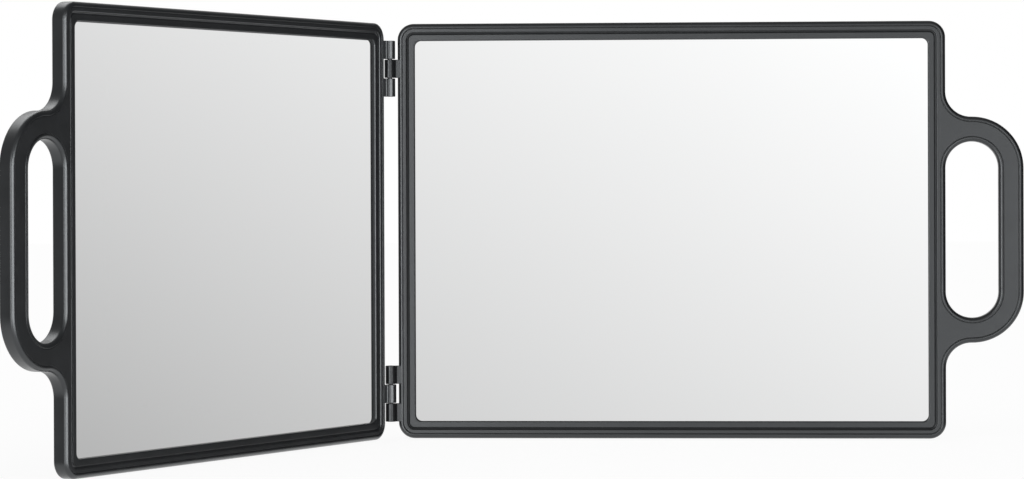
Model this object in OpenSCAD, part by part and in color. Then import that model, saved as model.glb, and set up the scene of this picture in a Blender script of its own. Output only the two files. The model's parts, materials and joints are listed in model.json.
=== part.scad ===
// Folding two-wing hand mirror
// Two identical framed mirrors, one turned half a turn, share two knuckle hinges.
// Each wing stands on its long edge and ends in a moulded hand grip.
// A wing is drawn lying on its back, face up: x runs from the hinge axis to the grip,
// y from one long edge to the other, z from the rear cover to the front face.
// The origin is the middle of the lower edge of the right wing.

/* [Wing] */
// Length of the frame, from its hinge edge to the edge that carries the grip
frame_w = 302.5; // [240:0.5:360]
// Height of the frame
frame_h = 230; // [200:1:290]
// Outer corner radius of the frame
corner_r = 9; // [7:0.5:14]
// Radius that breaks the outer edges, front and back
edge_r = 1.5; // [0.8:0.1:1.6]
// Angle that the left wing is folded forward from flat
fold_angle = 65.8; // [0:0.1:110]

/* [Front profile, from the outer edge inwards] */
// Width of the raised bead along every outer edge
bead_w = 2.4; // [1.9:0.1:3]
// Width of the flat field inside the bead
field_w = 2.7; // [2.4:0.1:4]
// Depth of the field below the bead
field_drop = 0.45; // [0.2:0.05:0.6]
// Width of the groove between the field and the lip
groove_w = 1.2; // [0.8:0.1:1.6]
// Depth of the groove below the field
groove_depth = 0.7; // [0.3:0.05:0.8]
// Width of the lip over the glass
lip_w = 3.3; // [2.6:0.1:4.5]
// Corner radius of the opening in the lip
opening_r = 3.5; // [2:0.5:6]

/* [Shell] */
// Thickness of the lip, from the bead top to the glass
lip_t = 2.6; // [1.6:0.1:3.2]
// Thickness of the outer walls and of the wall round the grip slot
wall_t = 1.8; // [1.65:0.05:2.2]
// Thickness of the front skin behind the field
skin_t = 2; // [1.8:0.1:2.6]
// Thickness of the rib round the glass pocket
rib_t = 1.2; // [0.8:0.1:1.4]

/* [Glass, pad and cover] */
// Thickness of the mirror glass
glass_t = 3; // [2:0.1:4]
// Width of glass held behind the lip and the groove
glass_hold = 3.3; // [2.4:0.1:3.8]
// Clearance round the glass in its pocket
glass_gap = 0.4; // [0.2:0.05:0.6]
// Thickness of the foam pad behind the glass
pad_t = 0.8; // [0.5:0.1:1.5]
// Distance from the edge of the glass to the edge of the pad
pad_inset = 1; // [0.5:0.1:4]
// Thickness of the rear cover
cover_t = 2; // [1.8:0.1:3]
// Clearance round the rear cover
cover_gap = 0.15; // [0.1:0.05:0.25]

/* [Grip] */
// Width of the finger slot
slot_w = 29; // [24:0.5:34]
// Length of the finger slot, end to end
slot_len = 97; // [85:0.5:110]
// Width of the grip bar round the slot
grip_w = 13.7; // [11:0.1:16]
// Radius of the inner curve where the grip meets the frame
grip_fillet = 14; // [8:0.5:16]

/* [Hinges] */
// Distance from the hinge axis to the edge of the frame
axis_gap = 4.15; // [4:0.05:6]
// Height of the hinge axis above the front face
axis_lift = 0.5; // [0.4:0.1:1.2]
// Diameter of the knuckles
knuckle_d = 6; // [4.8:0.1:6.4]
// Length of one knuckle
knuckle_len = 10.1; // [7:0.1:12]
// Running gap between knuckles
knuckle_gap = 0.35; // [0.3:0.05:0.8]
// Distance from the long edge of the frame to the nearest knuckle
hinge_inset = 9.4; // [9:0.2:24]
// Thickness of the tab that joins a knuckle to the frame
tab_t = 2; // [1.4:0.1:2.2]
// Depth of the tab's face below the bead
tab_drop = 0.1; // [0.05:0.05:0.3]
// Diameter of the hinge pins
pin_d = 2.5; // [1.8:0.1:2.8]
// Radial clearance of a pin in the knuckle that turns on it
pin_play = 0.05; // [0.03:0.01:0.08]
// Radial interference of a pin in the knuckles that hold it
pin_grip = 0.02; // [0.01:0.01:0.04]
// Depth of a pin's end below the end of its outer knuckle
pin_recess = 0.3; // [0.1:0.1:1]

/* [Screws] */
// Diameter of the screw threads
screw_d = 1.7; // [1.4:0.1:2]
// Length of a screw below its head
screw_len = 4; // [3.2:0.1:4.2]
// Diameter of the screw heads
head_d = 3.1; // [2.6:0.1:3.2]
// Height of the screw heads
head_h = 1; // [0.7:0.1:1.1]
// Depth of a head below the rear cover's face
head_sink = 0.1; // [0.05:0.05:0.3]
// Width of the cross slot in a head
cross_w = 0.45; // [0.3:0.05:0.6]
// Length of the cross slot in a head
cross_len = 1.9; // [1.4:0.1:2.2]
// Depth of the cross slot in a head
cross_depth = 0.5; // [0.3:0.05:0.6]
// Radial clearance round a screw's shank and head in the cover
screw_play = 0.15; // [0.1:0.05:0.2]
// Radial bite of a thread into its boss
screw_bite = 0.05; // [0.02:0.01:0.08]
// Outer diameter of the screw bosses
boss_d = 4; // [3.6:0.1:4.1]
// Depth that a boss is rooted in the front skin
boss_root = 0.4; // [0.2:0.05:0.5]
// Depth of a boss hole beyond the end of its screw
boss_spare = 0.2; // [0.1:0.05:0.25]
// Distance from the frame's outer edge to the row of screws
screw_inset = 4.2; // [4.1:0.1:4.3]
// Distance from the ends of the frame to the outer screws of the long edges
screw_end = 42; // [25:1:70]
// Distance from the end of the grip slot to the screws at the grip's roots
root_screw = 9; // [6:0.5:14]
// Distance between the two screws in the grip bar
grip_screw_pitch = 60; // [30:1:64]

/* [Hidden] */

// Segments in a quarter of a small corner, of a grip curve and of a broken edge
corner_steps = 8;
grip_steps = 12;
edge_steps = 3;
// Angle of a rounded corner or edge
quarter = 90;
// Depth that a broken edge laps into the body behind it
edge_lap = 0.3;
// Smallest radius left where an inset outline's corner would close up
least_r = 0.6;
// Straight stretch left between the slot's top and the curve into the frame
fillet_spare = 0.2;
// Extra length of a cutter past the face that it opens
past = 1;
$fn = 48;

// Heights above the back of a wing
pad_z = cover_t;
glass_z = pad_z + pad_t;
lip_z = glass_z + glass_t;
frame_t = lip_z + lip_t;
skin_z = frame_t - skin_t;
field_z = frame_t - field_drop;
axis_z = frame_t + axis_lift;

// Insets from the outer edge of the frame
groove_in = bead_w + field_w;
lip_in = groove_in + groove_w;
band_w = lip_in + lip_w;
glass_in = band_w - glass_hold;
pocket_in = glass_in - glass_gap;
cover_in = wall_t + cover_gap;

// Places along a wing
near_x = axis_gap;
far_x = axis_gap + frame_w;
mid_y = frame_h / 2;
slot_r = slot_w / 2;
slot_x = far_x + slot_r;
slot_half = slot_len / 2 - slot_r;
grip_r = slot_r + grip_w;
fillet_r = min(grip_fillet, slot_r - fillet_spare);

// Knuckle rows and pins
knuckle_pitch = knuckle_len + knuckle_gap;
hinge_len = 3 * knuckle_len + 2 * knuckle_gap;
pin_r = pin_d / 2;
pin_len = hinge_len - 2 * pin_recess;
// A tab ends inside the outer wall, behind its broken edge
tab_reach = axis_gap + (edge_r + wall_t) / 2;

// Screws
screw_r = screw_d / 2;
head_r = head_d / 2;
sink_depth = head_sink + head_h;
pilot_z = sink_depth + screw_len + boss_spare;
screw_places = [
    [near_x + screw_end, screw_inset],
    [near_x + frame_w / 2, screw_inset],
    [far_x - screw_end, screw_inset],
    [near_x + screw_end, frame_h - screw_inset],
    [near_x + frame_w / 2, frame_h - screw_inset],
    [far_x - screw_end, frame_h - screw_inset],
    [near_x + screw_inset, mid_y],
    [far_x - screw_inset, mid_y - slot_len / 2 - root_screw],
    [far_x - screw_inset, mid_y + slot_len / 2 + root_screw],
    [far_x + slot_w + grip_w / 2, mid_y - grip_screw_pitch / 2],
    [far_x + slot_w + grip_w / 2, mid_y + grip_screw_pitch / 2]
];

// Points of an arc about c, from angle a to angle b
function arc(c, r, a, b, steps) = [
    for (i = [0 : steps])
        let (t = a + (b - a) * i / steps)
            [c[0] + r * cos(t), c[1] + r * sin(t)]
];

// Rounded rectangle from low corner to high corner
function round_rect(low, high, r) = concat(
    arc([low[0] + r, low[1] + r], r, 180, 270, corner_steps),
    arc([high[0] - r, low[1] + r], r, 270, 360, corner_steps),
    arc([high[0] - r, high[1] - r], r, 0, 90, corner_steps),
    arc([low[0] + r, high[1] - r], r, 90, 180, corner_steps)
);

// Outline of the frame without its grip, inset by d
function frame_outline(d, r) = round_rect([near_x + d, d], [far_x - d, frame_h - d], r);

// Outline of the whole wing with its grip, inset by d
function wing_outline(d) = concat(
    arc([near_x + corner_r, corner_r], corner_r - d, 180, 270, corner_steps),
    arc([far_x - corner_r, corner_r], corner_r - d, 270, 360, corner_steps),
    arc([far_x + fillet_r, mid_y - slot_half - grip_r - fillet_r], fillet_r + d, 180, 90, grip_steps),
    arc([slot_x, mid_y - slot_half], grip_r - d, 270, 360, grip_steps),
    arc([slot_x, mid_y + slot_half], grip_r - d, 0, 90, grip_steps),
    arc([far_x + fillet_r, mid_y + slot_half + grip_r + fillet_r], fillet_r + d, 270, 180, grip_steps),
    arc([far_x - corner_r, frame_h - corner_r], corner_r - d, 0, 90, corner_steps),
    arc([near_x + corner_r, frame_h - corner_r], corner_r - d, 90, 180, corner_steps)
);

// Outline of the finger slot, grown by d
function slot_outline(d) = concat(
    arc([slot_x, mid_y - slot_half], slot_r + d, 180, 360, 2 * grip_steps),
    arc([slot_x, mid_y + slot_half], slot_r + d, 0, 180, 2 * grip_steps)
);

// Inset and height of each ring of an edge that is broken front and back, from and to the body
edge_rings = concat(
    [[edge_r + edge_lap, edge_lap]],
    [for (i = [0 : edge_steps]) let (t = quarter * i / edge_steps)
        [edge_r * (1 - sin(t)), edge_r * (1 - cos(t))]],
    [for (i = [0 : edge_steps]) let (t = quarter * i / edge_steps)
        [edge_r * (1 - cos(t)), frame_t - edge_r * (1 - sin(t))]],
    [[edge_r + edge_lap, frame_t - edge_lap]]
);

// Band through rings of points, each at its own height, closed from the last ring to the first
module ring_band(outlines, heights) {
    n = len(outlines[0]);
    m = len(outlines);
    points = [for (k = [0 : m - 1]) for (p = outlines[k]) [p[0], p[1], heights[k]]];
    sides = [
        for (k = [0 : m - 1]) for (i = [0 : n - 1])
            let (j = (i + 1) % n, up = (k + 1) % m)
                [k * n + i, up * n + i, up * n + j, k * n + j]
    ];
    polyhedron(points, sides);
}

// Broken edges round the outside of a wing and round its finger slot
module edge_bands() {
    slot_rings = [for (k = [len(edge_rings) - 1 : -1 : 0]) edge_rings[k]];
    ring_band([for (e = edge_rings) wing_outline(e[0])], [for (e = edge_rings) e[1]]);
    ring_band([for (e = slot_rings) slot_outline(e[0])], [for (e = slot_rings) e[1]]);
}

// Flat region of a wing between its outer wall and its slot wall
module wing_region(d) {
    difference() {
        polygon(wing_outline(d));
        polygon(slot_outline(d));
    }
}

// Sunk field, groove and opening on the front of a frame
module front_cutters() {
    translate([0, 0, field_z])
        linear_extrude(field_drop + past)
            wing_region(bead_w);
    translate([0, 0, field_z - groove_depth])
        linear_extrude(groove_depth + past)
            difference() {
                polygon(frame_outline(groove_in, corner_r - groove_in));
                polygon(frame_outline(lip_in, max(corner_r - lip_in, least_r)));
            }
    translate([0, 0, glass_z])
        linear_extrude(frame_t)
            polygon(frame_outline(band_w, opening_r));
}

// Hollow back of a frame: cover seat, channel outside the rib, and glass pocket
module back_cutters() {
    translate([0, 0, -past])
        linear_extrude(cover_t + past)
            wing_region(wall_t);
    translate([0, 0, -past])
        linear_extrude(skin_z + past)
            difference() {
                wing_region(wall_t);
                polygon(frame_outline(pocket_in - rib_t, corner_r - pocket_in + rib_t));
            }
    glass_pocket();
}

// Pocket that takes the glass and its pad
module glass_pocket() {
    translate([0, 0, -past])
        linear_extrude(lip_z + past)
            polygon(frame_outline(pocket_in, corner_r - pocket_in));
}

// One thing at every screw place
module at_screws() {
    for (p = screw_places)
        translate([p[0], p[1], 0])
            children();
}

// Screw bosses, grown down from the front skin to the cover
module bosses() {
    at_screws()
        translate([0, 0, cover_t])
            cylinder(d = boss_d, h = skin_z + boss_root - cover_t);
}

// Knuckles of a wing: one on the upper hinge, two on the lower hinge
knuckle_places = [
    [hinge_inset, pin_r - pin_grip],
    [hinge_inset + 2 * knuckle_pitch, pin_r - pin_grip],
    [frame_h - hinge_inset - hinge_len + knuckle_pitch, pin_r + pin_play]
];

module knuckle_barrels() {
    for (k = knuckle_places)
        translate([0, k[0], axis_z])
            rotate([-90, 0, 0])
                cylinder(d = knuckle_d, h = knuckle_len);
}

module knuckle_tabs() {
    for (k = knuckle_places)
        translate([0, k[0], frame_t - tab_drop - tab_t])
            cube([tab_reach, knuckle_len, tab_t]);
}

module knuckle_bores() {
    for (k = knuckle_places)
        translate([0, k[0] - knuckle_gap / 2, axis_z])
            rotate([-90, 0, 0])
                cylinder(r = k[1], h = knuckle_len + knuckle_gap);
}

// Front moulding: bezel, side walls, grip and knuckles in one piece
module front_frame() {
    color("#2c2d30")
        difference() {
            union() {
                difference() {
                    linear_extrude(frame_t)
                        wing_region(edge_r);
                    front_cutters();
                    back_cutters();
                }
                edge_bands();
                difference() {
                    bosses();
                    glass_pocket();
                }
                knuckle_barrels();
                knuckle_tabs();
            }
            knuckle_bores();
            at_screws()
                cylinder(r = screw_r - screw_bite, h = pilot_z);
        }
}

// Mirror glass
module mirror_glass() {
    color("#d9dcde")
        translate([0, 0, glass_z])
            linear_extrude(glass_t)
                polygon(frame_outline(glass_in, corner_r - glass_in));
}

// Foam pad behind the glass
module backing_pad() {
    color("#5b5d60")
        translate([0, 0, pad_z])
            linear_extrude(pad_t)
                polygon(frame_outline(glass_in + pad_inset, max(corner_r - glass_in - pad_inset, least_r)));
}

// Rear cover, seated flush inside the walls of the front moulding
module rear_cover() {
    color("#26272a")
        difference() {
            linear_extrude(cover_t)
                wing_region(cover_in);
            at_screws()
                translate([0, 0, -past])
                    cylinder(r = screw_r + screw_play, h = cover_t + 2 * past);
            at_screws()
                translate([0, 0, -past])
                    cylinder(r = head_r + screw_play, h = sink_depth + past);
        }
}

// One pan head screw with a cross slot
module cover_screw() {
    difference() {
        translate([0, 0, head_sink])
            cylinder(r = head_r, h = head_h);
        for (a = [0, 90])
            rotate([0, 0, a])
                translate([-cross_len / 2, -cross_w / 2, head_sink - past])
                    cube([cross_len, cross_w, cross_depth + past]);
    }
    translate([0, 0, sink_depth])
        cylinder(r = screw_r, h = screw_len);
}

// All the screws of one cover
module cover_screws() {
    color("#8f9296")
        at_screws()
            cover_screw();
}

// Steel pin that starts at height z on the hinge axis
module hinge_pin(z) {
    color("#3c3d40")
        from_hinge_axis()
            translate([0, 0, z + pin_recess])
                cylinder(r = pin_r, h = pin_len);
}

// Places things drawn about the hinge axis into the part's own frame
module from_hinge_axis() {
    translate([-axis_gap - frame_w / 2, -axis_lift - frame_t / 2, 0])
        children();
}

// Stands a wing up with its front face towards the viewer
module stood_up() {
    translate([0, axis_z, 0])
        rotate([90, 0, 0])
            children();
}

module right_wing() {
    from_hinge_axis()
        stood_up()
            children();
}

// The left wing is the same wing turned half a turn in its own plane, then folded
module left_wing() {
    from_hinge_axis()
        rotate([0, 0, fold_angle])
            translate([0, 0, frame_h])
                rotate([0, 180, 0])
                    stood_up()
                        children();
}

module right_front_frame() { right_wing() front_frame(); }
module right_mirror_glass() { right_wing() mirror_glass(); }
module right_backing_pad() { right_wing() backing_pad(); }
module right_rear_cover() { right_wing() rear_cover(); }
module right_cover_screws() { right_wing() cover_screws(); }
module left_front_frame() { left_wing() front_frame(); }
module left_mirror_glass() { left_wing() mirror_glass(); }
module left_backing_pad() { left_wing() backing_pad(); }
module left_rear_cover() { left_wing() rear_cover(); }
module left_cover_screws() { left_wing() cover_screws(); }
module upper_hinge_pin() { hinge_pin(frame_h - hinge_inset - hinge_len); }
module lower_hinge_pin() { hinge_pin(hinge_inset); }

right_front_frame();
right_mirror_glass();
right_backing_pad();
right_rear_cover();
right_cover_screws();
left_front_frame();
left_mirror_glass();
left_backing_pad();
left_rear_cover();
left_cover_screws();
upper_hinge_pin();
lower_hinge_pin();
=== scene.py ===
"""Looks of a folding two-wing hand mirror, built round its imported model.

Sizes are in millimetres and match the model's own. A wing is drawn lying on its back, face up:
x runs from the hinge axis to the grip, y from one long edge to the other, z from back to front.
"""
import json
import math

import bmesh
import bpy
from mathutils import Matrix, Vector
from mathutils.geometry import tessellate_polygon

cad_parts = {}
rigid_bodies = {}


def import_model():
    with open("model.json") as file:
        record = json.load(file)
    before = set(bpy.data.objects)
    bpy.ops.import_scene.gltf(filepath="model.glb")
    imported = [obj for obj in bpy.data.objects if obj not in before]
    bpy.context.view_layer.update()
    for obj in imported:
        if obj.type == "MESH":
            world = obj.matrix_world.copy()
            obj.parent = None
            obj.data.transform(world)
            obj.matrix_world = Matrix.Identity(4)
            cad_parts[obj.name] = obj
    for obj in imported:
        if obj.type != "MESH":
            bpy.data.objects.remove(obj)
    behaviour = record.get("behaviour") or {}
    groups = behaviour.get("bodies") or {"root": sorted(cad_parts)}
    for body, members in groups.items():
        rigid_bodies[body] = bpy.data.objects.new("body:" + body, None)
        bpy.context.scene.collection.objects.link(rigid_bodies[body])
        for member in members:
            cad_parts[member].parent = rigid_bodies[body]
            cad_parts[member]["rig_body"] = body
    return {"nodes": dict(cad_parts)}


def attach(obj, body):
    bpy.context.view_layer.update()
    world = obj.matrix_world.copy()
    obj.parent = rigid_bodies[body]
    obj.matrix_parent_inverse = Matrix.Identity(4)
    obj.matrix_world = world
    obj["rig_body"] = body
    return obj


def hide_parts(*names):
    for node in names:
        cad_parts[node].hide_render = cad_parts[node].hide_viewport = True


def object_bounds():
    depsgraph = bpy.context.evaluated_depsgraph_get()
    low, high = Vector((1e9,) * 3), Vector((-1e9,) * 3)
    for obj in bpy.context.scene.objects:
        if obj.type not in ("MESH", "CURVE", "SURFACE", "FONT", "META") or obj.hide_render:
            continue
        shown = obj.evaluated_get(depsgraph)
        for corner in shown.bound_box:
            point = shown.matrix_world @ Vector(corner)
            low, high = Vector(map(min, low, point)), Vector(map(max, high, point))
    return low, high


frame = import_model()
cad_low, cad_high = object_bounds()

MM = 0.001

# Wing
FRAME_W = 302.5
FRAME_H = 230.0
CORNER_R = 9.0
EDGE_R = 1.5
FOLD_ANGLE = 65.8

# Front profile, from the outer edge inwards
BEAD_W = 2.4
FIELD_W = 2.7
FIELD_DROP = 0.45
GROOVE_W = 1.2
LIP_W = 3.3
OPENING_R = 3.5

# Shell, glass and cover
LIP_T = 2.6
WALL_T = 1.8
GLASS_T = 3.0
GLASS_HOLD = 3.3
GLASS_GAP = 0.4
PAD_T = 0.8
COVER_T = 2.0
COVER_GAP = 0.15

# Grip
SLOT_W = 29.0
SLOT_LEN = 97.0
GRIP_W = 13.7
FILLET_R = 14.0

# Hinges
AXIS_GAP = 4.15
AXIS_LIFT = 0.5
KNUCKLE_D = 6.0
KNUCKLE_LEN = 10.1
KNUCKLE_GAP = 0.35
HINGE_INSET = 9.4
TAB_T = 2.0
TAB_DROP = 0.1
PIN_D = 2.5
PIN_PLAY = 0.05
PIN_RECESS = 0.3

# Screws
SCREW_D = 1.7
SCREW_LEN = 4.0
HEAD_D = 3.1
HEAD_H = 1.0
HEAD_SINK = 0.1
CROSS_W = 0.45
CROSS_LEN = 1.9
CROSS_DEPTH = 0.5
THREAD_PITCH = 0.6
THREAD_RINGS = 12
THREAD_ROOT = 0.85
TIP_R = 0.15
SCREW_PLAY = 0.15
SCREW_INSET = 4.2
SCREW_END = 42.0
ROOT_SCREW = 9.0
GRIP_SCREW_PITCH = 60.0

# Degrees: turn from one screw to the next, rings of a screw's dome, and the least angle of a sharp edge
SCREW_TURN = 37
DOME_ANGLES = (10, 30, 50, 70, 90)
PANEL_SHARP = 50
PIN_SHARP = 40
SCREW_SHARP = 35

# Small rounds and slopes that the model leaves to the looks
FRONT_R = 2.1
BEAD_ROUND = 0.12
FOOT_W = 0.5
FOOT_DEPTH = 0.3
FLAT_W = 0.25
FIELD_ROUND = 0.75
GROOVE_ROUND = 0.08
GROOVE_WALL = 1.0
GROOVE_SINK = 1.3
LIP_DROP = 0.4
LIP_ROUND = 0.8
REAR_BREAK = 0.1
BEAD_BREAK = 0.1
COVER_BREAK = 0.3
HOLE_BREAK = 0.15
KNUCKLE_BREAK = 0.3
TAB_FILLET = 0.6
PIN_BREAK = 0.2
HEAD_DOME = 0.3

# Middle part of a noise's range
NOISE_LOW = 0.3
NOISE_HIGH = 0.7

# Sizes of the clouds, cells and marks in the finishes, and depths of relief
PLASTIC_CLOUD = 18
GLOSS_CLOUD = 6
GLASS_CLOUD = 120
STEEL_CLOUD = 2
FOAM_CELL = 1.2
FOAM_RELIEF = 0.2
MARK_SIZE = 0.5
MARK_DEPTH = 0.01

# Strengths of relief, and roughness of the foam
GRAIN_STRENGTH = 0.6
MARK_STRENGTH = 0.4
FOAM_ROUGHNESS = 0.9

# How worn an edge is, from 0 to 1, and how much smoother full wear makes it
FULL_WEAR = 1.0
LIP_WEAR = 0.6
COVER_WEAR = 0.4
WEAR_POLISH = 0.05

# Tint of the plastic's gloss, and the two colours between which the silver and the foam vary
PLASTIC_TINT = (0.96, 1.0, 1.03, 1)
SILVER = ((0.925, 0.93, 0.93), (0.93, 0.933, 0.933))
FOAM = ((0.08, 0.08, 0.085), (0.14, 0.14, 0.145))

# White table: side in metres, colour, roughness, its glow for the camera, and the glow's share of the look
TABLE_SIZE = 12
TABLE_COLOUR = (0.9, 0.9, 0.9, 1)
TABLE_ROUGHNESS = 0.9
TABLE_GLOW = 1.06
GLOW_SHARE = 0.85

# The room is drawn by direction, as parts of a unit vector: x to the right, y to the back, z up.
# Walls that the glasses show: brightness at the middle, its place across, and rise across and up
WALL_REACH = 0.12
FRONT_WALL = {"middle": -0.03, "level": 0.92, "rise_across": 1.3, "rise_up": 2.1}
BACK_WALL = {"middle": 0.54, "level": 0.73, "rise_across": 1.7, "rise_up": 2.3}
FRONT_TO_BACK = (-0.35, 0.35, 0.0, 1.0)

# Room that gloss shows: where each change starts and ends, and the levels before and after it
FRONT_LEVELS = (-0.25, 0.25, 1.6, 0.9)
SIDE_LEVELS = (0.1, 0.8, 0.4, 0.05)
TABLE_LEVELS = (-0.35, -0.15, 1.5, 0.0)
INTO_REAR = (0.75, 0.95, 0.0, 1.0)
INTO_SIDES = (-0.95, -0.6, 0.0, 1.0)
REAR_LEVEL = 0.9
PLAIN_LEVEL = 0.6

# Lamps: name, wing, azimuth, elevation, distance, width, height in metres, power in watts
LAMPS = [
    ("left_wing_key", "left", 32, 0, 1.3, 1.3, 0.9, 34),
    ("left_wing_fill", "left", -20, 0, 1.3, 0.4, 0.9, 6),
    ("left_wing_top", "left", -138, 58, 1.6, 1.4, 1.2, 16),
    ("right_wing_fill", "right", -27, 0, 1.3, 0.5, 0.9, 15),
    ("right_wing_key", "right", 27, 0, 1.3, 0.35, 0.9, 5),
]

# Segments of a corner, a grip curve, a rounded edge, a small round, a pin or knuckle, a hole, a screw
CORNER_STEPS = 16
GRIP_STEPS = 32
EDGE_STEPS = 10
ROUND_STEPS = 4
TURN_STEPS = 48
HOLE_STEPS = 32
SCREW_STEPS = 24

# Heights above the back of a wing and insets from its outer edge
LIP_Z = COVER_T + PAD_T + GLASS_T
FRAME_T = LIP_Z + LIP_T
FIELD_Z = FRAME_T - FIELD_DROP
AXIS_Z = FRAME_T + AXIS_LIFT
GROOVE_IN = BEAD_W + FIELD_W
LIP_IN = GROOVE_IN + GROOVE_W
BAND_W = LIP_IN + LIP_W
GLASS_IN = BAND_W - GLASS_HOLD
POCKET_IN = GLASS_IN - GLASS_GAP
COVER_IN = WALL_T + COVER_GAP

# Places along a wing
NEAR_X = AXIS_GAP
FAR_X = AXIS_GAP + FRAME_W
MID_Y = FRAME_H / 2
SLOT_R = SLOT_W / 2
SLOT_X = FAR_X + SLOT_R
SLOT_HALF = SLOT_LEN / 2 - SLOT_R
GRIP_R = SLOT_R + GRIP_W
KNUCKLE_PITCH = KNUCKLE_LEN + KNUCKLE_GAP
HINGE_LEN = 3 * KNUCKLE_LEN + 2 * KNUCKLE_GAP
TAB_REACH = AXIS_GAP + (EDGE_R + WALL_T) / 2

SCREW_PLACES = [
    (NEAR_X + SCREW_END, SCREW_INSET),
    (NEAR_X + FRAME_W / 2, SCREW_INSET),
    (FAR_X - SCREW_END, SCREW_INSET),
    (NEAR_X + SCREW_END, FRAME_H - SCREW_INSET),
    (NEAR_X + FRAME_W / 2, FRAME_H - SCREW_INSET),
    (FAR_X - SCREW_END, FRAME_H - SCREW_INSET),
    (NEAR_X + SCREW_INSET, MID_Y),
    (FAR_X - SCREW_INSET, MID_Y - SLOT_LEN / 2 - ROOT_SCREW),
    (FAR_X - SCREW_INSET, MID_Y + SLOT_LEN / 2 + ROOT_SCREW),
    (FAR_X + SLOT_W + GRIP_W / 2, MID_Y - GRIP_SCREW_PITCH / 2),
    (FAR_X + SLOT_W + GRIP_W / 2, MID_Y + GRIP_SCREW_PITCH / 2),
]

# From millimetres about the hinge axis to the model's frame
from_hinge_axis = Matrix.Diagonal((MM, MM, MM, 1)) @ Matrix.Translation(
    (-AXIS_GAP - FRAME_W / 2, -AXIS_LIFT - FRAME_T / 2, 0)
)
stood_up = Matrix.Translation((0, AXIS_Z, 0)) @ Matrix.Rotation(math.radians(90), 4, "X")
turned = Matrix.Translation((0, 0, FRAME_H)) @ Matrix.Rotation(math.radians(180), 4, "Y")
PLACE = {
    "right": from_hinge_axis @ stood_up,
    "left": from_hinge_axis @ Matrix.Rotation(math.radians(FOLD_ANGLE), 4, "Z") @ turned @ stood_up,
}


def arc(centre, radius, start, end, steps):
    """Points of an arc about centre, from one angle to another in degrees."""
    angles = [math.radians(start + (end - start) * i / steps) for i in range(steps + 1)]
    return [(centre[0] + radius * math.cos(a), centre[1] + radius * math.sin(a)) for a in angles]


def circle(centre, radius, steps=HOLE_STEPS):
    return arc(centre, radius, 0, 360, steps)[:-1]


def frame_outline(d, radius):
    """Outline of the frame without its grip, inset by d."""
    low_x, high_x = NEAR_X + d + radius, FAR_X - d - radius
    low_y, high_y = d + radius, FRAME_H - d - radius
    return (
        arc((low_x, low_y), radius, 180, 270, CORNER_STEPS)
        + arc((high_x, low_y), radius, 270, 360, CORNER_STEPS)
        + arc((high_x, high_y), radius, 0, 90, CORNER_STEPS)
        + arc((low_x, high_y), radius, 90, 180, CORNER_STEPS)
    )


def wing_outline(d):
    """Outline of the whole wing with its grip, inset by d."""
    near, far = NEAR_X + CORNER_R, FAR_X - CORNER_R
    high = FRAME_H - CORNER_R
    fillet_x = FAR_X + FILLET_R
    fillet_low = MID_Y - SLOT_HALF - GRIP_R - FILLET_R
    fillet_high = MID_Y + SLOT_HALF + GRIP_R + FILLET_R
    return (
        arc((near, CORNER_R), CORNER_R - d, 180, 270, CORNER_STEPS)
        + arc((far, CORNER_R), CORNER_R - d, 270, 360, CORNER_STEPS)
        + arc((fillet_x, fillet_low), FILLET_R + d, 180, 90, GRIP_STEPS)
        + arc((SLOT_X, MID_Y - SLOT_HALF), GRIP_R - d, 270, 360, GRIP_STEPS)
        + arc((SLOT_X, MID_Y + SLOT_HALF), GRIP_R - d, 0, 90, GRIP_STEPS)
        + arc((fillet_x, fillet_high), FILLET_R + d, 270, 180, GRIP_STEPS)
        + arc((far, high), CORNER_R - d, 0, 90, CORNER_STEPS)
        + arc((near, high), CORNER_R - d, 90, 180, CORNER_STEPS)
    )


def slot_outline(d):
    """Outline of the finger slot, grown by d."""
    return arc((SLOT_X, MID_Y - SLOT_HALF), SLOT_R + d, 180, 360, 2 * GRIP_STEPS) + arc(
        (SLOT_X, MID_Y + SLOT_HALF), SLOT_R + d, 0, 180, 2 * GRIP_STEPS
    )


def ring_radius(d):
    """Corner radius of the groove and the lip where they are inset by d."""
    share = min(max((d - LIP_IN) / (BAND_W - LIP_IN), 0), 1)
    return CORNER_R - min(d, LIP_IN) + share * (OPENING_R - CORNER_R + LIP_IN)


def rounding(centre, radius, start, end, steps, wear=0.0):
    """Rings of a rounded edge, as inset, height and wear."""
    return [(d, z, wear) for d, z in arc(centre, radius, start, end, steps)]


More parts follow.
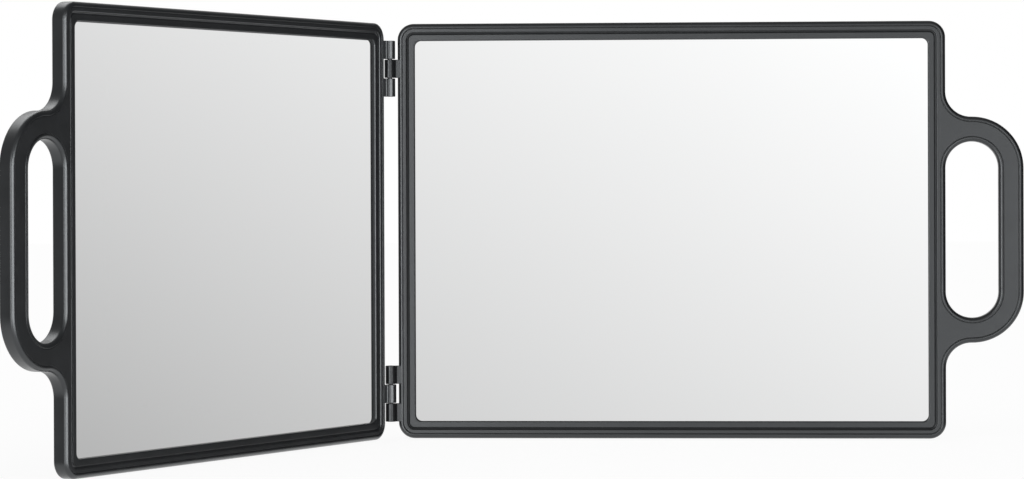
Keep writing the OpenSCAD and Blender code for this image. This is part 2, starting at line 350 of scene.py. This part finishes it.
class Shell:
    """Closed mesh put together from rings of points, in millimetres."""

    def __init__(self):
        self.points = []
        self.wear = []
        self.faces = []

    def ring(self, points, wear=0.0):
        first = len(self.points)
        self.points += points
        self.wear += [wear] * len(points)
        return list(range(first, len(self.points)))

    def level(self, outline, z, wear=0.0):
        return self.ring([(x, y, z) for x, y in outline], wear)

    def bands(self, rings):
        for a, b in zip(rings, rings[1:]):
            for i in range(len(a)):
                j = (i + 1) % len(a)
                self.faces.append((a[i], a[j], b[j], b[i]))
        return rings[-1]

    def walls(self, outline, profile):
        """Bands through the rings of a profile. Returns the first ring and the last one."""
        rings = [self.level(outline(d), z, wear) for d, z, wear in profile]
        self.bands(rings)
        return rings[0], rings[-1]

    def fill(self, *loops):
        """Flat face between an outer ring and the holes in it."""
        flat = [i for loop in loops for i in loop]
        corners = [[Vector(self.points[i]) for i in loop] for loop in loops]
        self.faces += [tuple(flat[i] for i in t) for t in tessellate_polygon(corners)]

    def piece(self, name, place, sharp=PANEL_SHARP):
        """Blender object with smooth shading, in the model's frame."""
        mesh = bpy.data.meshes.new(name)
        mesh.from_pydata([place @ Vector(p) for p in self.points], [], self.faces)
        layer = mesh.attributes.new("wear", "FLOAT", "POINT")
        layer.data.foreach_set("value", self.wear)
        made = bmesh.new()
        made.from_mesh(mesh)
        bmesh.ops.recalc_face_normals(made, faces=made.faces)
        made.to_mesh(mesh)
        made.free()
        mesh.shade_smooth()
        mesh.set_sharp_from_angle(angle=math.radians(sharp))
        piece = bpy.data.objects.new(name, mesh)
        bpy.context.scene.collection.objects.link(piece)
        weighted = piece.modifiers.new("flat_faces_first", "WEIGHTED_NORMAL")
        weighted.keep_sharp = True
        weighted.weight = 100
        return piece


def outer_profile():
    """Rings of an outer edge, from the cover's seat round the wall and the bead to the field."""
    back = rounding((EDGE_R, EDGE_R), EDGE_R, 270, 180, EDGE_STEPS)
    front = rounding((FRONT_R, FRAME_T - FRONT_R), FRONT_R, 180, 90, EDGE_STEPS, FULL_WEAR)
    crest_centre = (BEAD_W - BEAD_ROUND, FRAME_T - BEAD_ROUND)
    crest = rounding(crest_centre, BEAD_ROUND, 90, 0, ROUND_STEPS, FULL_WEAR)
    foot_r = FOOT_W / 2
    foot_z = FIELD_Z - FOOT_DEPTH + foot_r
    foot = rounding((BEAD_W + foot_r, foot_z), foot_r, 180, 350, 2 * ROUND_STEPS)
    foot += rounding((BEAD_W + FOOT_W + BEAD_BREAK, FIELD_Z - BEAD_BREAK), BEAD_BREAK, 170, 90, 2)
    rear_break = [(WALL_T, COVER_T, 0.0), (WALL_T, REAR_BREAK, 0.0), (WALL_T - REAR_BREAK, 0.0, 0.0)]
    return rear_break + back + front + crest + foot


def inner_profile():
    """Rings from the field through the groove and over the lip into the glass pocket."""
    flat_end = BEAD_W + FOOT_W + BEAD_BREAK + FLAT_W
    lip_z = FIELD_Z - LIP_DROP
    wall_low = FIELD_Z - GROOVE_WALL
    valley = (GROOVE_IN + GROOVE_W / 2, FIELD_Z - GROOVE_SINK, 0.0)
    shoulder, r = FIELD_ROUND, GROOVE_ROUND
    lip_centre = (BAND_W - LIP_ROUND, lip_z - LIP_ROUND)
    return (
        [(flat_end, FIELD_Z, 0.0)]
        + rounding((GROOVE_IN - shoulder, FIELD_Z - shoulder), shoulder, 90, 0, 2 * ROUND_STEPS)
        + [(GROOVE_IN, wall_low, 0.0), valley, (LIP_IN, wall_low, 0.0)]
        + rounding((LIP_IN + r, lip_z - r), r, 180, 90, ROUND_STEPS)
        + rounding(lip_centre, LIP_ROUND, 90, 0, 2 * ROUND_STEPS, LIP_WEAR)
        + [(BAND_W, LIP_Z, 0.0), (POCKET_IN, LIP_Z, 0.0), (POCKET_IN, COVER_T, 0.0)]
    )


def inner_outline(d):
    return frame_outline(d, ring_radius(d))


def add_knuckle(shell, low_y, bore_r):
    """Barrel with the tab that joins it to the frame, bored for the pin."""
    barrel_r = KNUCKLE_D / 2
    tab_top = FRAME_T - TAB_DROP
    tab_low = tab_top - TAB_T
    fillet_x = math.sqrt((barrel_r + TAB_FILLET) ** 2 - (tab_top + TAB_FILLET - AXIS_Z) ** 2)
    fillet_z = tab_top + TAB_FILLET
    touch = math.degrees(math.atan2(fillet_z - AXIS_Z, fillet_x))
    under = 360 - math.degrees(math.asin((AXIS_Z - tab_low) / barrel_r))
    profile = arc((0, AXIS_Z), barrel_r, touch, under, TURN_STEPS)
    profile += [(TAB_REACH, tab_low), (TAB_REACH, tab_top)]
    profile += arc((fillet_x, fillet_z), TAB_FILLET, 270, 180 + touch, ROUND_STEPS)
    centre = Vector((0, AXIS_Z))

    def shrunk(inset):
        """Profile drawn in by inset along its own normals."""
        points = [Vector(p) for p in profile]
        drawn = []
        for i, p in enumerate(points):
            along = (points[(i + 1) % len(points)] - points[i - 1]).normalized()
            drawn.append(p - Vector((along.y, -along.x)) * inset)
        return drawn

    def bored(radius):
        """Bore with a point for each point of the profile, at the same angle."""
        return [centre + (Vector(p) - centre).normalized() * radius for p in profile]

    def at(points, y, wear=0.0):
        return shell.ring([(x, y, z) for x, z in points], wear)

    high_y = low_y + KNUCKLE_LEN
    turns = [math.radians(90 * i / ROUND_STEPS) for i in range(ROUND_STEPS + 1)]
    drawn_in = [(KNUCKLE_BREAK * (1 - math.sin(t)), KNUCKLE_BREAK * (1 - math.cos(t))) for t in turns]
    rings = [at(bored(bore_r), low_y + HOLE_BREAK), at(bored(bore_r + HOLE_BREAK), low_y)]
    rings += [at(shrunk(inset), low_y + depth, FULL_WEAR) for inset, depth in drawn_in]
    rings += [at(shrunk(inset), high_y - depth, FULL_WEAR) for inset, depth in reversed(drawn_in)]
    rings += [at(bored(bore_r + HOLE_BREAK), high_y), at(bored(bore_r), high_y - HOLE_BREAK)]
    shell.bands(rings + rings[:1])


def front_frame(side):
    """Front moulding: outer wall and bead, field, groove, lip, grip and knuckles."""
    shell = Shell()
    seat, field = shell.walls(wing_outline, outer_profile())
    slot_seat, slot_field = shell.walls(slot_outline, outer_profile())
    lip_start, pocket = shell.walls(inner_outline, inner_profile())
    shell.fill(field, slot_field, lip_start)
    shell.fill(seat, slot_seat, pocket)
    turning_r = PIN_D / 2 + PIN_PLAY
    add_knuckle(shell, HINGE_INSET, PIN_D / 2)
    add_knuckle(shell, HINGE_INSET + 2 * KNUCKLE_PITCH, PIN_D / 2)
    add_knuckle(shell, FRAME_H - HINGE_INSET - HINGE_LEN + KNUCKLE_PITCH, turning_r)
    return shell.piece(side + "_frame_moulding", PLACE[side])


def rear_cover(side):
    """Cover with broken edges and a counterbored hole at every screw."""
    shell = Shell()
    break_centre = (COVER_IN + COVER_BREAK, COVER_BREAK)
    broken = rounding(break_centre, COVER_BREAK, 270, 180, ROUND_STEPS, COVER_WEAR)
    profile = broken + [(COVER_IN, COVER_T, 0.0)]
    back, front = shell.walls(wing_outline, profile)
    slot_back, slot_front = shell.walls(slot_outline, profile)
    back_loops = [back, slot_back]
    front_loops = [front, slot_front]
    sink_r = HEAD_D / 2 + SCREW_PLAY
    shank_r = SCREW_D / 2 + SCREW_PLAY
    hole_profile = [
        (sink_r + HOLE_BREAK, 0.0, 0.0),
        (sink_r, HOLE_BREAK, 0.0),
        (sink_r, HEAD_SINK + HEAD_H, 0.0),
        (shank_r, HEAD_SINK + HEAD_H, 0.0),
        (shank_r, COVER_T, 0.0),
    ]
    for place in SCREW_PLACES:
        hole_back, hole_front = shell.walls(lambda r, c=place: circle(c, r), hole_profile)
        back_loops.append(hole_back)
        front_loops.append(hole_front)
    shell.fill(*back_loops)
    shell.fill(*front_loops)
    return shell.piece(side + "_cover_panel", PLACE[side])


def turned_shell(profile, steps=TURN_STEPS):
    """Closed turned body about the z axis, from radii and heights, with a flat centre at each end."""
    shell = Shell()
    rings = [shell.level(circle((0, 0), r, steps), z) for r, z in profile]
    shell.bands(rings)
    shell.faces += [tuple(rings[0]), tuple(rings[-1])]
    return shell


def screw_mesh():
    """One cover screw with a domed head, a cross recess and a pointed thread, head at the back."""
    head_r = HEAD_D / 2
    shank_r = SCREW_D / 2
    under = HEAD_SINK + HEAD_H
    turns = [math.radians(t) for t in DOME_ANGLES]
    dome = [(head_r * math.sin(t), HEAD_SINK + HEAD_DOME * (1 - math.cos(t))) for t in turns]
    radii = (shank_r * THREAD_ROOT, shank_r)
    thread = [(radii[i % 2], under + THREAD_PITCH / 2 * (i + 1)) for i in range(THREAD_RINGS)]
    profile = dome + [(head_r, under), (shank_r, under)] + thread + [(TIP_R, under + SCREW_LEN)]
    body = turned_shell(profile, SCREW_STEPS).piece("screw_body", Matrix.Identity(4), SCREW_SHARP)
    body.modifiers.clear()
    cutters = []
    for turn in (0, 90):
        bpy.ops.mesh.primitive_cube_add(size=1)
        cutter = bpy.context.object
        cutter.scale = (CROSS_LEN, CROSS_W, 2 * CROSS_DEPTH)
        cutter.rotation_euler = (0, 0, math.radians(turn))
        cutter.location = (0, 0, HEAD_SINK)
        cut = body.modifiers.new("cross_recess", "BOOLEAN")
        cut.operation = "DIFFERENCE"
        cut.object = cutter
        cutters.append(cutter)
    bpy.context.view_layer.update()
    mesh = bpy.data.meshes.new_from_object(body.evaluated_get(bpy.context.evaluated_depsgraph_get()))
    for helper in (*cutters, body):
        bpy.data.objects.remove(helper)
    return mesh


def cover_screws(side, master):
    """All the screws of one cover as one piece."""
    made = bmesh.new()
    for i, (x, y) in enumerate(SCREW_PLACES):
        one = master.copy()
        turn = Matrix.Rotation(math.radians(SCREW_TURN * i), 4, "Z")
        one.transform(PLACE[side] @ Matrix.Translation((x, y, 0)) @ turn)
        made.from_mesh(one)
        bpy.data.meshes.remove(one)
    bmesh.ops.recalc_face_normals(made, faces=made.faces)
    mesh = bpy.data.meshes.new(side + "_cover_screw_set")
    made.to_mesh(mesh)
    made.free()
    mesh.shade_smooth()
    mesh.set_sharp_from_angle(angle=math.radians(SCREW_SHARP))
    piece = bpy.data.objects.new(side + "_cover_screw_set", mesh)
    bpy.context.scene.collection.objects.link(piece)
    return piece


def hinge_pin(name, low_z):
    """Steel pin with broken ends, standing on the hinge axis."""
    low, high = low_z + PIN_RECESS, low_z + HINGE_LEN - PIN_RECESS
    r = PIN_D / 2
    ends = rounding((r - PIN_BREAK, PIN_BREAK), PIN_BREAK, -90, 0, ROUND_STEPS)
    profile = [(d, low + z) for d, z, _ in ends] + [(d, high - z) for d, z, _ in reversed(ends)]
    return turned_shell(profile).piece(name, from_hinge_axis, PIN_SHARP)


def add_node(tree, kind, links=(), **values):
    """Shader node with its inputs set from values and linked from other sockets."""
    node = tree.nodes.new(kind)
    for name, value in values.items():
        if name in node.inputs:
            node.inputs[name].default_value = value
        else:
            setattr(node, name, value)
    for socket, source in links:
        tree.links.new(source, node.inputs[socket])
    return node


def new_material(name):
    """Material with its node tree and its Principled shader."""
    material = bpy.data.materials.new(name)
    material.use_nodes = True
    return material, material.node_tree, material.node_tree.nodes["Principled BSDF"]


def set_input(tree, socket, value):
    """Sets an input to a number, or links it to another node's output."""
    if isinstance(value, (int, float)):
        socket.default_value = value
    else:
        tree.links.new(value, socket)


def ramp(tree, value, start, end, low, high, kind="SMOOTHSTEP"):
    """Smooth or even rise of a value from one level to another."""
    node = add_node(tree, "ShaderNodeMapRange", [("Value", value)], interpolation_type=kind)
    for name, number in zip(("From Min", "From Max", "To Min", "To Max"), (start, end, low, high)):
        node.inputs[name].default_value = number
    return node.outputs["Result"]


def scaled_sum(tree, value, factor, base):
    """A value times a factor, added to a base."""
    node = add_node(tree, "ShaderNodeMath", [(0, value)], operation="MULTIPLY_ADD")
    node.inputs[1].default_value = factor
    set_input(tree, node.inputs[2], base)
    return node.outputs[0]


def noise(tree, size, detail=2.0):
    """Noise of about that size in millimetres, fixed to the piece."""
    place = add_node(tree, "ShaderNodeTexCoord").outputs["Object"]
    made = add_node(tree, "ShaderNodeTexNoise", [("Vector", place)], Scale=1 / (size * MM), Detail=detail)
    return made.outputs["Fac"]


def spread(tree, source, low, high):
    """Noise spread over a range of values."""
    return ramp(tree, source, NOISE_LOW, NOISE_HIGH, low, high, "LINEAR")


def blended(tree, factor, first, second):
    """Colour between two colours."""
    node = add_node(tree, "ShaderNodeMix", data_type="RGBA")
    tree.links.new(factor, node.inputs[0])
    node.inputs[6].default_value = (*first, 1)
    node.inputs[7].default_value = (*second, 1)
    return node.outputs[2]


def mixed_value(tree, factor, first, second):
    """Value between two values."""
    node = add_node(tree, "ShaderNodeMix", data_type="FLOAT")
    for slot, value in ((0, factor), (2, first), (3, second)):
        set_input(tree, node.inputs[slot], value)
    return node.outputs[0]


def bumped(tree, shader, height, depth, strength=1.0):
    """Fine relief of that depth in millimetres."""
    bump = add_node(tree, "ShaderNodeBump", [("Height", height)], Strength=strength, Distance=depth * MM)
    tree.links.new(bump.outputs["Normal"], shader.inputs["Normal"])


def mirror_ray(tree):
    """1 where a ray comes from a perfect mirror, otherwise 0."""
    return add_node(tree, "ShaderNodeLightPath").outputs["Is Singular Ray"]


def mixed_surface(tree, factor, first, second):
    """Surface that turns from one shader to another."""
    mixed = add_node(tree, "ShaderNodeMixShader", [(0, factor)])
    tree.links.new(first.outputs[0], mixed.inputs[1])
    tree.links.new(second.outputs[0], mixed.inputs[2])
    tree.links.new(mixed.outputs[0], tree.nodes["Material Output"].inputs["Surface"])


def plastic(name, dark, light, smooth, rough, grain, depth, specular, mirrored=""):
    """Moulded black plastic: cloudy colour and gloss, fine grain, and edges that handling has polished.

    Where mirrored says so, a glass shows it dull, as a lip's unlit underside is, or hidden.
    """
    material, tree, shader = new_material(name)
    clouds = spread(tree, noise(tree, PLASTIC_CLOUD), 0, 1)
    tree.links.new(blended(tree, clouds, dark, light), shader.inputs["Base Color"])
    worn = add_node(tree, "ShaderNodeAttribute", attribute_name="wear").outputs["Fac"]
    gloss = spread(tree, noise(tree, GLOSS_CLOUD, 4), smooth, rough)
    roughness = scaled_sum(tree, worn, -WEAR_POLISH, gloss)
    if mirrored == "dull":
        roughness = mixed_value(tree, mirror_ray(tree), roughness, 1.0)
    if mirrored == "hidden":
        mixed_surface(tree, mirror_ray(tree), shader, add_node(tree, "ShaderNodeBsdfTransparent"))
    tree.links.new(roughness, shader.inputs["Roughness"])
    shader.inputs["Specular IOR Level"].default_value = specular
    shader.inputs["Specular Tint"].default_value = PLASTIC_TINT
    bumped(tree, shader, noise(tree, grain, 3), depth, GRAIN_STRENGTH)
    return material


def mirror_finish():
    """Silvered float glass: a full mirror with a faintly uneven tint."""
    material, tree, shader = new_material("silvered_glass")
    tint = spread(tree, noise(tree, GLASS_CLOUD, 1), 0, 1)
    tree.links.new(blended(tree, tint, *SILVER), shader.inputs["Base Color"])
    shader.inputs["Metallic"].default_value = 1.0
    shader.inputs["Roughness"].default_value = 0.0
    return material


def foam_finish():
    """Closed-cell grey foam."""
    material, tree, shader = new_material("grey_foam")
    cells = noise(tree, FOAM_CELL)
    tree.links.new(blended(tree, spread(tree, cells, 0, 1), *FOAM), shader.inputs["Base Color"])
    shader.inputs["Roughness"].default_value = FOAM_ROUGHNESS
    bumped(tree, shader, cells, FOAM_RELIEF)
    return material


def steel_finish(name, dark, light, smooth, rough):
    """Drawn or plated steel with faint tool marks."""
    material, tree, shader = new_material(name)
    marks = noise(tree, MARK_SIZE, 4)
    colour = blended(tree, spread(tree, marks, 0, 1), dark, light)
    tree.links.new(colour, shader.inputs["Base Color"])
    tree.links.new(spread(tree, noise(tree, STEEL_CLOUD, 3), smooth, rough), shader.inputs["Roughness"])
    shader.inputs["Metallic"].default_value = 1.0
    bumped(tree, shader, marks, MARK_DEPTH, MARK_STRENGTH)
    return material


SATIN_BLACK = {
    "dark": (0.006, 0.0065, 0.007),
    "light": (0.0085, 0.009, 0.0098),
    "smooth": 0.35,
    "rough": 0.4,
    "grain": 1.2,
    "depth": 0.003,
    "specular": 0.5,
}
ERODED_BLACK = {
    "dark": (0.011, 0.0113, 0.012),
    "light": (0.016, 0.0163, 0.017),
    "smooth": 0.48,
    "rough": 0.56,
    "grain": 0.3,
    "depth": 0.03,
    "specular": 0.4,
}
FINISH = {
    "frame_plastic": plastic("satin_black_moulding", **SATIN_BLACK, mirrored="dull"),
    "cover_plastic": plastic("spark_eroded_black", **ERODED_BLACK),
    "mirror_glass": mirror_finish(),
    "foam_pad": foam_finish(),
    # Pin steel near black: a dark finish, and its dark colour also paints the shade in the narrow gaps
    # between the knuckles
    "pin_steel": steel_finish("dark_steel_and_gap_shade", (0.04, 0.04, 0.044), (0.08, 0.08, 0.085), 0.3, 0.4),
    "screw_steel": steel_finish("zinc_plated_steel", (0.4, 0.41, 0.43), (0.58, 0.59, 0.61), 0.28, 0.4),
}


def finish(piece, slot):
    piece.data.materials.clear()
    piece.data.materials.append(FINISH[slot])


def dress(piece, node, body, slot):
    """Puts a piece in the place of its model node."""
    finish(piece, slot)
    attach(piece, body)
    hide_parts(node)


LIT_PIECES = {side: bpy.data.collections.new("lit_pieces_" + side) for side in ("right", "left")}

screw = screw_mesh()
for side in ("right", "left"):
    body = side + "_wing"
    for make, node, slot in (
        (front_frame, "_front_frame", "frame_plastic"),
        (rear_cover, "_rear_cover", "cover_plastic"),
    ):
        made = make(side)
        dress(made, side + node, body, slot)
        LIT_PIECES[side].objects.link(made)
    screws = cover_screws(side, screw)
    dress(screws, side + "_cover_screws", body, "screw_steel")
    LIT_PIECES[side].objects.link(screws)
    finish(frame["nodes"][side + "_mirror_glass"], "mirror_glass")
    finish(frame["nodes"][side + "_backing_pad"], "foam_pad")

for name, low_z, side in (
    ("upper_hinge_pin", FRAME_H - HINGE_INSET - HINGE_LEN, "left"),
    ("lower_hinge_pin", HINGE_INSET, "right"),
):
    pin = hinge_pin(name + "_turned", low_z)
    dress(pin, name, side + "_wing", "pin_steel")
    LIT_PIECES[side].objects.link(pin)

# The photographed mirrors are clean, so the right wing stays out of what the left glass shows
for piece in bpy.context.scene.objects:
    if piece.get("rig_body") != "right_wing":
        continue
    if piece.name == "right_frame_moulding":
        piece.data.materials[0] = plastic("satin_black_moulding_right", **SATIN_BLACK, mirrored="hidden")
    else:
        piece.visible_glossy = False


def camera():
    """Camera at the photograph's place, from a fit to the edges and corners of both wings."""
    place = Vector((54.545, -1974.262, 144.138)) * MM
    yaw, pitch, roll = (math.radians(a) for a in (-3.4905, -0.2749, 0.1994))
    focal_px, centre_x, centre_y = 3567.1, 551.86, 195.26
    width_px, height_px = 1024, 479
    sensor = 36.0
    ahead = Vector((math.sin(yaw) * math.cos(pitch), math.cos(yaw) * math.cos(pitch), math.sin(pitch)))
    across = Vector((math.cos(yaw), -math.sin(yaw), 0))
    down = ahead.cross(across)
    right = math.cos(roll) * across + math.sin(roll) * down
    below = -math.sin(roll) * across + math.cos(roll) * down
    data = bpy.data.cameras.new("photo_camera")
    data.sensor_width = sensor
    data.lens = focal_px / width_px * sensor
    data.shift_x = (width_px / 2 - centre_x) / width_px
    data.shift_y = (centre_y - height_px / 2) / width_px
    data.clip_start, data.clip_end = 0.05, 50
    made = bpy.data.objects.new("photo_camera", data)
    made.matrix_world = Matrix.Translation(place) @ Matrix((right, -below, -ahead)).transposed().to_4x4()
    bpy.context.scene.collection.objects.link(made)
    bpy.context.scene.camera = made


def softbox(name, side, azimuth, elevation, distance, width, height, power):
    """Area lamp on one wing. Azimuth 0 is in front, positive to the right, in degrees."""
    a, e = math.radians(azimuth), math.radians(elevation)
    aim = (cad_low + cad_high) / 2
    away = Vector((math.sin(a) * math.cos(e), -math.cos(a) * math.cos(e), math.sin(e)))
    data = bpy.data.lights.new(name, "AREA")
    data.shape = "RECTANGLE"
    data.size, data.size_y = width, height
    data.energy = power
    lamp = bpy.data.objects.new(name, data)
    lamp.location = aim + away * distance
    lamp.rotation_mode = "QUATERNION"
    lamp.rotation_quaternion = away.to_track_quat("Z", "Y")
    lamp.light_linking.receiver_collection = LIT_PIECES[side]
    lamp.visible_camera = False
    bpy.context.scene.collection.objects.link(lamp)


def floor():
    """White table that keeps a soft shadow."""
    bpy.ops.mesh.primitive_plane_add(size=TABLE_SIZE)
    table = bpy.context.object
    table.name = "floor"
    material, tree, shader = new_material("white_table")
    shader.inputs["Base Color"].default_value = TABLE_COLOUR
    shader.inputs["Roughness"].default_value = TABLE_ROUGHNESS
    shader.inputs["Specular IOR Level"].default_value = 0.0
    glow = add_node(tree, "ShaderNodeEmission", Strength=TABLE_GLOW)
    path = add_node(tree, "ShaderNodeLightPath")
    seen = add_node(tree, "ShaderNodeMath", [(0, path.outputs["Is Camera Ray"])], operation="MULTIPLY")
    seen.inputs[1].default_value = GLOW_SHARE
    mixed_surface(tree, seen.outputs[0], shader, glow)
    table.data.materials.append(material)
    table.visible_glossy = False


def soft_wall(tree, across, up, middle, level, rise_across, rise_up):
    """Evenly shaded wall: a level at its middle, rising across and up, and level again far out."""
    ends = (-WALL_REACH, WALL_REACH)
    sideways = ramp(tree, across, middle - WALL_REACH, middle + WALL_REACH, *ends, "LINEAR")
    upwards = ramp(tree, up, *ends, *ends, "LINEAR")
    return scaled_sum(tree, upwards, rise_up, scaled_sum(tree, sideways, rise_across, level))


def world():
    """White room. The silvered glass sees a soft gradient, the plastic a dimmer room."""
    made = bpy.data.worlds.new("white_room")
    bpy.context.scene.world = made
    made.use_nodes = True
    tree = made.node_tree
    way = add_node(tree, "ShaderNodeTexCoord").outputs["Generated"]
    x, y, z = add_node(tree, "ShaderNodeSeparateXYZ", [(0, way)]).outputs
    front_wall = soft_wall(tree, x, z, **FRONT_WALL)
    back_wall = soft_wall(tree, y, z, **BACK_WALL)
    clean = mixed_value(tree, ramp(tree, y, *FRONT_TO_BACK), front_wall, back_wall)
    beyond = mixed_value(tree, ramp(tree, y, *INTO_REAR), ramp(tree, x, *SIDE_LEVELS), REAR_LEVEL)
    around = mixed_value(tree, ramp(tree, y, *INTO_SIDES), ramp(tree, z, *FRONT_LEVELS), beyond)
    table = ramp(tree, z, *TABLE_LEVELS)
    dim = add_node(tree, "ShaderNodeMath", [(0, around), (1, table)], operation="MAXIMUM").outputs[0]
    path = add_node(tree, "ShaderNodeLightPath")
    level = PLAIN_LEVEL
    for flag, own in (("Is Glossy Ray", dim), ("Is Singular Ray", clean), ("Is Camera Ray", 1.0)):
        level = mixed_value(tree, path.outputs[flag], level, own)
    ground = tree.nodes["Background"]
    tree.links.new(level, ground.inputs["Strength"])
    ground.inputs["Color"].default_value = (1, 1, 1, 1)


camera()
floor()
world()
for lamp in LAMPS:
    softbox(*lamp)

bpy.context.scene.view_settings.view_transform = "Standard"
